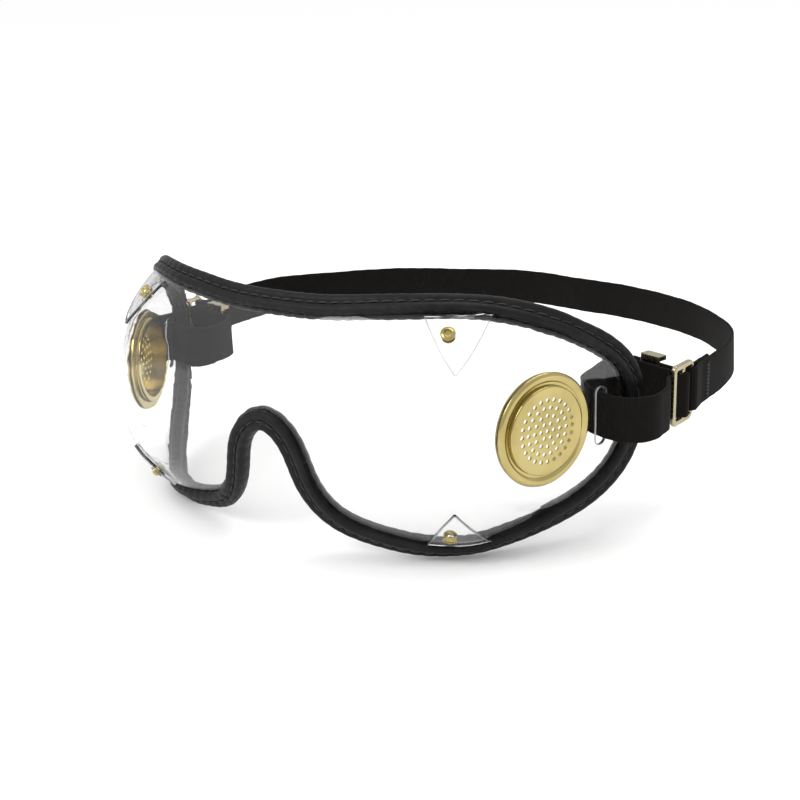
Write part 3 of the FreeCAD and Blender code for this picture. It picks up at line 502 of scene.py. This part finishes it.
def clear_material():
    """Clear sheet with a trace of haze, with painted shade where it is seen edge on, and painted shade in
    grey along its sawn edges.
    """
    m, tree, shader = material("clear_sheet", grey(1.0), 0.01)
    shader.inputs["Transmission Weight"].default_value = 1.0
    shader.inputs["IOR"].default_value = 1.45
    place = object_place(tree)
    away = away_from_edges(tree, place)
    slant = node(tree, "ShaderNodeLayerWeight", Blend=0.5).outputs["Facing"]
    paler = map_range(tree, slant, start=0.35, end=0.65, high=0.75)
    drawn = node(tree, "ShaderNodeMath", [(away, 0), (paler, 1)], operation="ADD", use_clamp=True)
    # Painted shade in grey along the sawn edges, fading where the sheet is seen edge on
    edges = ramp(tree, drawn.outputs["Value"], [(0.0, EDGE_PAINTED_SHADE), (1.0, grey(1.0))])
    # Painted shade: the sheet darker where it is seen edge on
    edge_on_painted_shade = ramp(tree, slant, [
        (0.3, grey(1.0)), (0.6, (0.95, 0.95, 0.955)), (0.8, (0.86, 0.86, 0.87)), (0.92, (0.5, 0.5, 0.51))])
    tree.links.new(multiply(tree, edges, edge_on_painted_shade), shader.inputs["Base Color"])
    haze = noise(tree, place, scale=40.0, detail=2.0)
    hazy = ramp(tree, haze, [(0.3, grey(0.0)), (0.75, grey(0.012))])
    rough = node(tree, "ShaderNodeMix", [(away, 0), (hazy, 3)])
    rough.inputs[2].default_value = EDGE_ROUGHNESS
    tree.links.new(rough.outputs[0], shader.inputs["Roughness"])
    return m


LEATHER = leather_material()
ELASTIC = webbing_material("black_elastic", (0.0048, 0.0041, 0.0036))
BRASS = metal_material("pale_brass", (0.42, 0.34, 0.13), (0.52, 0.43, 0.18), 0.2)
NICKEL = metal_material("satin_nickel", (0.34, 0.30, 0.19), (0.44, 0.39, 0.26), 0.26)
CLEAR = clear_material()
THREAD = thread_material()
FOAM = foam_material()

# Binding: leather folded over the edge, with rolled ridges each side of a sewn groove

STITCH = 3.7
STATIONS_PER_STITCH = 8
HOLE_SPREAD = 0.17
# Pace per stitch, start and size of the waves that make the leather uneven
DRIFT_WAVES = [(0.61, 1.3, 0.5), (1.37, 0.0, 0.3), (2.71, 0.4, 0.2)]
# Distance outwards from the rim line, height over the sheet, and the zone, for each point of the section
BINDING_SECTION = [
    (-2.86, 0.58, "lip"), (-2.93, 1.0, "lip"), (-2.84, 1.55, "ridge"), (-2.5, 2.05, "ridge"),
    (-2.0, 2.32, "ridge"), (-1.5, 2.4, "ridge"), (-1.0, 2.3, "ridge"), (-0.6, 2.08, "groove"),
    (-0.3, 1.82, "groove"), (0.0, 1.7, "groove"), (0.3, 1.82, "groove"), (0.6, 2.08, "groove"),
    (1.05, 2.32, "ridge"), (1.6, 2.42, "ridge"), (2.1, 2.28, "ridge"), (2.55, 1.85, "side"),
    (2.85, 1.2, "side"), (2.98, 0.4, "side"), (2.98, -0.4, "side"), (2.92, -1.3, "side"),
    (2.75, -2.05, "side"), (2.35, -2.7, "side"), (1.8, -3.1, "back"), (1.2, -3.24, "back"),
    (0.7, -3.05, "back"), (0.3, -2.75, "back_groove"), (0.0, -2.62, "back_groove"),
    (-0.3, -2.75, "back_groove"), (-0.7, -3.05, "back"), (-1.3, -3.25, "back"), (-2.0, -3.22, "back"),
    (-2.7, -3.0, "back"), (-3.3, -2.5, "edge"), (-3.7, -1.85, "edge"), (-3.84, -1.2, "edge"),
    (-3.72, -0.75, "edge"), (-3.4, -0.58, "edge"),
]


def build_binding():
    """Padded leather, drawn in at every stitch and a little uneven; gives the number of stitches too."""
    stitches = int(round(rim_line(STATIONS_PER_STITCH)[3] / STITCH))
    count = stitches * STATIONS_PER_STITCH
    along, phi, tangent, length = rim_line(count)
    beat = np.arange(count) / STATIONS_PER_STITCH
    hole = np.exp(-((beat - np.floor(beat) - 0.5) / HOLE_SPREAD) ** 2)
    drift = sum(np.sin(beat * pace + start) * size for pace, start, size in DRIFT_WAVES)
    swell = np.abs(drift)
    # This draw isn't used here, but the pieces that are made later take their numbers after it
    rng.normal(0, 1, stitches)
    across = np.tile([corner[0] for corner in BINDING_SECTION], (count, 1))
    rise = np.tile([corner[1] for corner in BINDING_SECTION], (count, 1))
    moves = {
        "lip": (across, 0.14 * hole),
        "ridge": (rise, -(0.10 * hole + 0.025 * drift + 0.03)),
        "groove": (rise, -0.16 * hole),
        "side": (across, -(0.07 * hole + 0.05 * swell)),
        "back": (rise, 0.10 * hole + 0.04 * swell),
        "back_groove": (rise, 0.16 * hole),
        "edge": (across, 0.22 * hole + 0.06 * swell),
    }
    for i, (_, _, zone) in enumerate(BINDING_SECTION):
        values, move = moves[zone]
        values[:, i] += move
    points = walk(along, phi, tangent, across, rise)
    section = distance_along(np.stack([across[0], rise[0]], -1))
    run = np.arange(count) * length / count
    uvs = np.stack(np.broadcast_arrays(run[:, None], section[None, :]), -1).reshape(-1, 2)
    faces = tube_faces(count, len(BINDING_SECTION), True)
    obj = mesh_object("leather_binding", points.reshape(-1, 3), faces, uvs)
    rounded = obj.modifiers.new("round", "SUBSURF")
    rounded.levels = 1
    rounded.render_levels = 1
    return paint(obj, LEATHER), stitches


THREAD_TURNS = 6
THREAD_RADIUS = 0.2
THREAD_STATIONS = 7
THREAD_DIP = 0.42
THREAD_LEAN = 0.07
FRONT_THREAD_RISE = 2.02
BACK_THREAD_RISE = -2.94
LINE_PER_STITCH = 40


def build_stitches(stitches):
    """One short thread per stitch, on the front and the back, dipping into its holes at both ends."""
    points = []
    faces = []
    along, phi, tangent, _ = rim_line(stitches * LINE_PER_STITCH)
    share = np.linspace(-1, 1, THREAD_STATIONS)
    dip = THREAD_DIP * np.abs(share) ** 3
    radius = THREAD_RADIUS * (1 - 0.35 * np.abs(share) ** 4)
    angle = np.linspace(0, 2 * np.pi, THREAD_TURNS, endpoint=False)
    across = THREAD_LEAN * share[:, None] + radius[:, None] * 1.15 * np.cos(angle)
    for level in (FRONT_THREAD_RISE - dip, BACK_THREAD_RISE + dip):
        rise = level[:, None] + radius[:, None] * np.sin(angle)
        for k in range(stitches):
            beat = k + 0.5 + np.linspace(0.09, 0.91, THREAD_STATIONS)
            spot = np.round(beat * LINE_PER_STITCH).astype(int) % len(along)
            add_tube(points, faces, walk(along[spot], phi[spot], tangent[spot], across, rise))
    return paint(mesh_object("binding_stitches", points, faces), THREAD)


FOAM_STATIONS = 260
# Distance outwards from the rim line and height over the sheet
FOAM_SECTION = [
    (-3.0, -1.75), (-2.9, -1.95), (-1.6, -1.99), (0.0, -1.97), (1.3, -1.93), (1.55, -1.7),
    (1.55, -0.9), (1.3, -0.65), (0.0, -0.62), (-1.6, -0.62), (-2.8, -0.66), (-3.02, -0.9),
]


def build_foam():
    """Face-side strip of foam inside the binding's fold, a little uneven along its edges."""
    along, phi, tangent, _ = rim_line(FOAM_STATIONS)
    wobble = 0.04 * np.sin(np.arange(FOAM_STATIONS) * 0.9)[:, None]
    wobble = wobble + rng.normal(0, 0.012, (FOAM_STATIONS, 1))
    section = np.array(FOAM_SECTION)
    points = walk(along, phi, tangent, section[:, 0] + wobble, section[:, 1])
    faces = tube_faces(FOAM_STATIONS, len(FOAM_SECTION), True)
    return paint(mesh_object("face_foam_strip", points.reshape(-1, 3), faces), FOAM)


# Elastic, as in the part's source: plan places on the wearer's left, seen from above

STRAP_THICKNESS = 1.3
STRAP_HEIGHT = -0.35
STRAP_GAP = 0.06
LAYER_STEP = STRAP_THICKNESS + STRAP_GAP
HEADBAND_HEIGHT = STRAP_HEIGHT + 0.6
SLIDER_FRONT_BAR = 4.6
SLIDER_REAR_BAR = 5.2
BAR_REACH = 0.8
WRAP_RADIUS = BAR_REACH + STRAP_GAP + STRAP_THICKNESS / 2
RUNNING_GAP = 0.15
KEEPER_BAR_RADIUS = 0.5
KEEPER_STEP = STRAP_THICKNESS + 2 * (RUNNING_GAP + KEEPER_BAR_RADIUS)
LAYER_START = 4.0
TAIL_BEND_FROM = 1.5
TAIL_BEND_TO = 6.0
EASY_RADIUS = 3.0
FOLD_JOIN = 5.3
FOLD_TAIL = 13.3
FOLD_END = 14.8
ARC_STEP = 0.3
STRAIGHT_STEP = 0.35
HEADBAND_STEP = 0.5
LEFT_EAR = {
    "name": "right", "sign": 1.0, "slider": (91.1, 43.5), "slider_degrees": -7.0, "fold_degrees": -2.0,
    "outer": (92.2, 31.0), "outer_radius": 5.0, "front_radius": 8.5,
    "run_degrees": 18.5, "tail": 20.5, "far_x": 66.2, "far_radius": 6.0,
    "inner": [(66.6, 28.5, 8.0)], "through": 4.5, "through_radius": 6.0,
}
RIGHT_EAR = {
    "name": "left", "sign": -1.0, "slider": (85.8, 39.5), "slider_degrees": 4.0, "fold_degrees": 4.0,
    "outer": (87.5, 29.0), "outer_radius": 4.0, "front_radius": 5.5,
    "run_degrees": -11.7, "tail": 17.5, "far_x": 64.0, "far_radius": 4.5,
    "inner": [(61.8, 26.0, 12.0), (62.2, 14.0, 5.5)], "through": 3.5, "through_radius": 4.0,
}
EARS = [LEFT_EAR, RIGHT_EAR]
HEADBAND = [
    (92.4, 78.0), (88.8, 91.0), (79.8, 103.9), (67.9, 115.0), (55.5, 121.8), (42.4, 126.5), (31.1, 128.9),
    (18.0, 130.1), (5.0, 132.2), (-9.4, 131.2), (-24.9, 125.3), (-47.9, 116.1), (-60.5, 106.0),
    (-70.3, 95.7), (-79.3, 85.8), (-84.2, 72.5),
]
HEADBAND_LEAN = math.radians(13.0)
LEAN_START = 75.0
LEAN_BLEND = 43.0


def turned_by(heading, side):
    return np.array([-heading[1], heading[0]]) * side


def straight(a, b):
    count = max(2, int(np.linalg.norm(b - a) / STRAIGHT_STEP))
    return [a + (b - a) * k / count for k in range(count)]


def path_line(path):
    """Plan points along a path of points, each with a radius and a turn, as in the part's source."""
    runs = []
    for (a, radius_a, turn_a), (b, radius_b, turn_b) in zip(path, path[1:]):
        between = b - a
        lean = math.asin((turn_b * radius_b - turn_a * radius_a) / np.linalg.norm(between))
        angle = math.atan2(between[1], between[0]) - lean
        heading = np.array([math.cos(angle), math.sin(angle)])
        start = a - turned_by(heading, turn_a * radius_a)
        end = b - turned_by(heading, turn_b * radius_b)
        runs.append((start, heading, end))
    points = []
    here = runs[0][0]
    for i in range(1, len(path) - 1):
        point, radius, turn = path[i]
        before_bend = runs[i - 1][1]
        after_bend = runs[i][1]
        crossed = before_bend[0] * after_bend[1] - before_bend[1] * after_bend[0]
        bend = math.atan2(crossed, before_bend @ after_bend)
        if turn == 0:
            turn = 1 if bend > 0 else -1
            back = before_bend * (radius * math.tan(abs(bend) / 2))
            centre = point - back + turned_by(before_bend, turn * radius)
        else:
            centre = point
            if bend * turn < 0:
                bend += turn * 2 * math.pi
        start = math.atan2(before_bend[1], before_bend[0]) - turn * math.pi / 2
        count = max(6, int(abs(bend) * radius / ARC_STEP))
        arc = []
        for k in range(count + 1):
            angle = start + bend * k / count
            arc.append(centre + radius * np.array([math.cos(angle), math.sin(angle)]))
        points += straight(here, arc[0])
        points += arc[:-1]
        here = arc[-1]
    points += straight(here, runs[-1][2])
    points.append(runs[-1][2])
    return np.array(points)


class Ear:
    """Where one loop's bars and runs lie in plan, on the wearer's left."""

    def __init__(self, ear):
        self.ear = ear
        angle = math.radians(ear["slider_degrees"])
        self.bar = np.array(ear["slider"])
        self.back = np.array([-math.sin(angle), math.cos(angle)])
        self.rear_bar = self.bar + self.back * SLIDER_REAR_BAR
        angle = math.radians(ear["fold_degrees"])
        self.fold_back = np.array([-math.sin(angle), math.cos(angle)])
        self.fold_out = np.array([math.cos(angle), math.sin(angle)])
        angle = math.radians(ear["run_degrees"])
        self.run = np.array([-math.cos(angle), math.sin(angle)])
        self.rear = np.array([math.sin(angle), math.cos(angle)])
        self.tail_line = self.bar + self.rear * WRAP_RADIUS
        self.front_line = self.tail_line - self.rear * LAYER_STEP
        self.tail_back = self.front_line + self.rear * KEEPER_STEP

    def at_fold(self, outward, back):
        return self.rear_bar + self.fold_out * outward + self.fold_back * back

    def loop(self):
        """From the layer behind the slider, in through the slot, out, round both bars and to the tail."""
        ear = self.ear
        middle, _, _, normal = sheet_frame(SLOT_ALONG, phi_of(SLOT_HEIGHT))
        slot = middle[:2]
        normal = unit(normal[:2])
        outer = np.array(ear["outer"])
        far = self.front_line + self.run * ((ear["far_x"] - self.front_line[0]) / self.run[0])
        path = [(self.front_line + self.run * LAYER_START, 0, 0), (far, ear["far_radius"], 0)]
        path += [(np.array([x, y]), radius, 0) for x, y, radius in ear["inner"]]
        path.append((slot - normal * ear["through"], ear["through_radius"], 0))
        path.append((slot + normal * ((outer[0] - slot[0]) / normal[0]), ear["front_radius"], 0))
        path.append((outer, ear["outer_radius"], 0))
        path.append((self.bar - self.back * SLIDER_FRONT_BAR, WRAP_RADIUS, -1))
        path.append((self.bar, WRAP_RADIUS, 1))
        path.append((self.tail_line + self.run * TAIL_BEND_FROM, EASY_RADIUS, 0))
        path.append((self.tail_back + self.run * TAIL_BEND_TO, EASY_RADIUS, 0))
        path.append((self.tail_back + self.run * ear["tail"], 0, 0))
        return path_line(path)

    def fold(self):
        """From the sewn end, round the slider's rear bar, to where the headband leaves its own end."""
        half = LAYER_STEP / 2
        return path_line([
            (self.at_fold(-half, FOLD_TAIL), 0, 0), (self.at_fold(-half, FOLD_JOIN), EASY_RADIUS, 0),
            (self.rear_bar, WRAP_RADIUS, 1), (self.at_fold(half, FOLD_JOIN), EASY_RADIUS, 0),
            (self.at_fold(half, FOLD_END), 0, 0),
        ])


def clamped_spline(points, start, end):
    """Smooth plan curve through points with given headings at both ends."""
    p = np.asarray(points, float)
    n = len(p)
    h = np.linalg.norm(np.diff(p, axis=0), axis=1)
    knots = np.concatenate([[0], np.cumsum(h)])
    a = np.zeros((n, n))
    b = np.zeros_like(p)
    a[0, 0], a[0, 1] = 2 * h[0], h[0]
    b[0] = 6 * ((p[1] - p[0]) / h[0] - start)
    a[-1, -1], a[-1, -2] = 2 * h[-1], h[-1]
    b[-1] = 6 * (end - (p[-1] - p[-2]) / h[-1])
    for i in range(1, n - 1):
        a[i, i - 1], a[i, i], a[i, i + 1] = h[i - 1], 2 * (h[i - 1] + h[i]), h[i]
        b[i] = 6 * ((p[i + 1] - p[i]) / h[i] - (p[i] - p[i - 1]) / h[i - 1])
    m = np.linalg.solve(a, b)
    t = np.linspace(0, knots[-1], int(knots[-1] / HEADBAND_STEP))
    i = np.clip(np.searchsorted(knots, t, "right") - 1, 0, n - 2)
    past = (t - knots[i])[:, None]
    short = (knots[i + 1] - t)[:, None]
    return spline_piece(p, m, h[i][:, None], i, i + 1, past, short)


# Half of the strap's section: distance over its width and over its thickness, with a corded selvedge
FACE_SIDE = [
    (-6.4, 0.44), (-6.22, 0.58), (-5.98, 0.62), (-5.7, 0.58), (-5.4, 0.57), (-5.0, 0.61), (-3.4, 0.63),
    (-1.7, 0.64), (0.0, 0.64), (1.7, 0.64), (3.4, 0.63), (5.0, 0.61), (5.4, 0.57), (5.7, 0.58),
    (5.98, 0.62), (6.22, 0.58), (6.4, 0.44), (6.52, 0.2),
]
STRAP_SECTION = np.array(FACE_SIDE + [(-w, -t) for w, t in FACE_SIDE])
STRAP_HALF_WIDTH = 6.5


def strap(name, line, height, lean=0.0):
    """Closed woven strap along a plan line, upright or leaning, with slightly uneven selvedges."""
    heading = unit(np.gradient(line, axis=0))
    outward = np.stack([heading[:, 1], -heading[:, 0], np.zeros(len(line))], -1)
    upward = np.array([0.0, 0.0, 1.0])
    lean = np.broadcast_to(lean, len(line))[:, None]
    thick_way = outward * np.cos(lean) + upward * np.sin(lean)
    wide_way = upward * np.cos(lean) - outward * np.sin(lean)
    centre = np.concatenate([line, np.full((len(line), 1), height)], 1)
    run = distance_along(line)
    phase = rng.uniform(0, 6, 4)
    uneven = 0.05 * np.sin(run * 0.42 + phase[0]) + 0.035 * np.sin(run * 1.13 + phase[1]) - 0.06
    thinner = 0.02 * np.abs(np.sin(run * 0.8 + phase[2]))
    width = STRAP_SECTION[:, 0] * (1 + uneven[:, None] / STRAP_HALF_WIDTH)
    thickness = STRAP_SECTION[:, 1] * (1 - thinner)[:, None]
    over_width = wide_way[:, None] * width[..., None]
    points = centre[:, None] + over_width + thick_way[:, None] * thickness[..., None]
    count = len(STRAP_SECTION)
    faces = tube_faces(len(line), count, False)
    for station, order in ((0, 1), (len(line) - 1, -1)):
        base = station * count
        for c in range(count // 2 - 1):
            quad = (base + c, base + c + 1, base + count - 2 - c, base + count - 1 - c)
            faces.append(quad[::order])
    uvs = np.stack([np.broadcast_to(run[:, None], width.shape), width], -1).reshape(-1, 2)
    return paint(mesh_object(name, points.reshape(-1, 3), faces, uvs), ELASTIC)


def sided(line, ear):
    return line if ear["sign"] > 0 else line * np.array([-1.0, 1.0])


def build_headband():
    """One strip, round each slider's rear bar, doubled for a short way, and round the back of the head."""
    first, last = [sided(Ear(ear).fold(), ear) for ear in EARS]
    start, end = [sided(Ear(ear).fold_back, ear) for ear in EARS]
    points = [first[-1]] + [np.array(point) for point in HEADBAND] + [last[-1]]
    line = np.concatenate([first[:-1], clamped_spline(points, start, -end), last[::-1][1:]])
    lean = HEADBAND_LEAN * ease((line[:, 1] - LEAN_START) / LEAN_BLEND)
    return strap("headband_strap", line, HEADBAND_HEIGHT, lean)


TACK_AT = 9.3
TACK_REACH = 1.08
TACK_ROWS = 19
TACK_HALF_HEIGHT = 4.9
TACK_SLANT = 0.2
TACK_RISE = 0.14
TACK_DIP = 0.2
TACK_RADIUS = 0.17


def thread_rings(line, up):
    """Rings of points (S, K, 3) of a round thread along a line of points in space."""
    tangent = unit(np.gradient(line, axis=0))
    across = unit(np.cross(tangent, up))
    over = np.cross(across, tangent)
    angle = np.linspace(0, 2 * np.pi, THREAD_TURNS, endpoint=False)[None, :, None]
    return line[:, None] + TACK_RADIUS * (across[:, None] * np.cos(angle) + over[:, None] * np.sin(angle))


def build_end_stitches(ear):
    """Dense zigzag of thread on both faces of the folded end, with its ends dipping into the weave."""
    lay = Ear(ear)
    mirror = np.array([ear["sign"], 1.0, 1.0])
    surface = LAYER_STEP / 2 + STRAP_THICKNESS / 2
    points = []
    faces = []
    for face in (1.0, -1.0):
        for k in range(TACK_ROWS):
            middle = HEADBAND_HEIGHT - TACK_HALF_HEIGHT + 2 * TACK_HALF_HEIGHT * k / (TACK_ROWS - 1)
            line = []
            for share in np.linspace(-1, 1, THREAD_STATIONS):
                lift = surface + TACK_RISE - TACK_DIP * abs(share) ** 4
                x, y = lay.at_fold(face * lift, TACK_AT + TACK_REACH * share)
                line.append((x, y, middle + TACK_SLANT * share * (-1) ** k))
            up = np.array([face * lay.fold_out[0], face * lay.fold_out[1], 0.0])
            add_tube(points, faces, thread_rings(np.array(line) * mirror, up * mirror))
    return paint(mesh_object("end_bartacks_" + ear["name"], points, faces), THREAD)


# The pieces, and what each stands for

binding, stitch_count = build_binding()
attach(binding, "goggle_body")
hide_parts("edge_binding")
stitches = build_stitches(stitch_count)
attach(stitches, "goggle_body")
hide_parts("binding_thread")
foam = build_foam()
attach(foam, "goggle_body")
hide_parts("binding_foam")
headband = build_headband()
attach(headband, "headband")
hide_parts("headband_elastic")
for ear in EARS:
    loop = strap("loop_strap_" + ear["name"], sided(Ear(ear).loop(), ear), STRAP_HEIGHT)
    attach(loop, "headband")
    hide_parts("strap_loop_" + ear["name"])
    tacks = build_end_stitches(ear)
    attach(tacks, "headband")
    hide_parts("end_stitches_" + ear["name"])

# CAD nodes that stay, with their finishes

FINISH = {"lens": CLEAR, "dart_rivets": BRASS, "rivet_washers": BRASS}
for side in ("right", "left"):
    for piece in ("vent_bezel_", "vent_screen_", "vent_back_ring_"):
        FINISH[piece + side] = BRASS
    for piece in ("slider_", "keeper_"):
        FINISH[piece + side] = NICKEL
for name, finish in FINISH.items():
    paint(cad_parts[name], finish)

# Stage, lights and camera, in metres

FLOOR = -0.0373
FLOOR_REACH = 12.0
WORLD_STRENGTH = 1.0
MIRRORED_WORLD_STRENGTH = 0.8


def stage():
    """Plain pale floor just under the lowest edge of the binding."""
    corners = [(x * FLOOR_REACH, y * FLOOR_REACH, FLOOR) for x, y in ((-1, -1), (1, -1), (1, 1), (-1, 1))]
    mesh = bpy.data.meshes.new("floor")
    mesh.from_pydata(corners, [], [(0, 1, 2, 3)])
    floor = bpy.data.objects.new("floor", mesh)
    scene.collection.objects.link(floor)
    pale, _, shader = material("pale_floor", grey(0.985), 0.95)
    shader.inputs["Specular IOR Level"].default_value = 0.0
    mesh.materials.append(pale)


def studio_world():
    """Even white light from all round, a little weaker where a surface mirrors it."""
    world = bpy.data.worlds.new("studio")
    scene.world = world
    world.use_nodes = True
    tree = world.node_tree
    background = tree.nodes["Background"]
    background.inputs["Color"].default_value = (1, 1, 1, 1)
    mirrored = node(tree, "ShaderNodeLightPath").outputs["Is Glossy Ray"]
    level = map_range(tree, mirrored, low=WORLD_STRENGTH, high=MIRRORED_WORLD_STRENGTH)
    tree.links.new(level, background.inputs["Strength"])


def lamp(name, place, target, size, power):
    data = bpy.data.lights.new(name, "AREA")
    data.shape = "RECTANGLE"
    data.size, data.size_y = size
    data.energy = power
    obj = bpy.data.objects.new(name, data)
    obj.location = place
    obj.rotation_euler = (Vector(target) - Vector(place)).to_track_quat("-Z", "Y").to_euler()
    scene.collection.objects.link(obj)


def photo_camera():
    """Camera fitted to the photo: its place, and its axes to the right, up and back."""
    data = bpy.data.cameras.new("camera")
    data.lens = 62.06
    data.sensor_width = 36.0
    data.clip_start = 0.01
    camera = bpy.data.objects.new("camera", data)
    scene.collection.objects.link(camera)
    right = Vector((0.84493, 0.53395, -0.03141))
    up = Vector((-0.14795, 0.28974, 0.94560))
    back = Vector((0.51401, -0.79432, 0.32381))
    place = (0.2244, -0.3089, 0.1268)
    camera.matrix_world = Matrix.Translation(place) @ Matrix((right, up, back)).transposed().to_4x4()
    scene.camera = camera


stage()
studio_world()
lamp("key", (-0.35, -0.75, 0.75), (0, 0.02, 0), (0.5, 0.5), 4.0)
lamp("top", (0.1, 0.35, 0.95), (0, 0.03, 0), (0.7, 0.7), 3.0)
photo_camera()

scene.view_settings.view_transform = "Standard"
